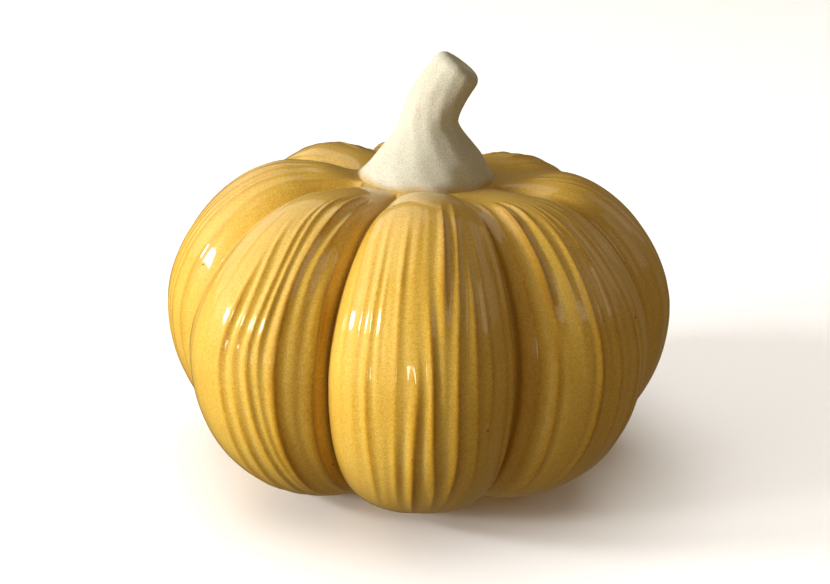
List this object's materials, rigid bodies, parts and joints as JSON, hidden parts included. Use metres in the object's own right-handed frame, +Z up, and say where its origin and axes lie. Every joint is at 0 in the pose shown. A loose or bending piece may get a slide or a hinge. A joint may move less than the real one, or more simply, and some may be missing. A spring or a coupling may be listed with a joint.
{
  "type": "pumpkin figure",
  "caption": "Glazed ceramic pumpkin figure with rounded, finely ribbed lobes and a bent unglazed stem fixed on top, standing on a flat foot.",
  "frame": {"origin": "centre of the resting surface, on the axis of the body", "axes": "+Z up along the axis of the body; -Y faces the front; the stem leans towards +X"},
  "size_m": [0.1979, 0.204, 0.1607],
  "materials": {
    "mustard_glaze": "glossy translucent mustard yellow glaze, darker in the grooves",
    "fired_slip": "matte fired slip",
    "stem_bisque": "matte, fine grained bisque"
  },
  "bodies": {
    "root": {"body_shell": "mustard_glaze", "slip_joint": "fired_slip", "stem": "stem_bisque"}
  },
  "joints": []
}
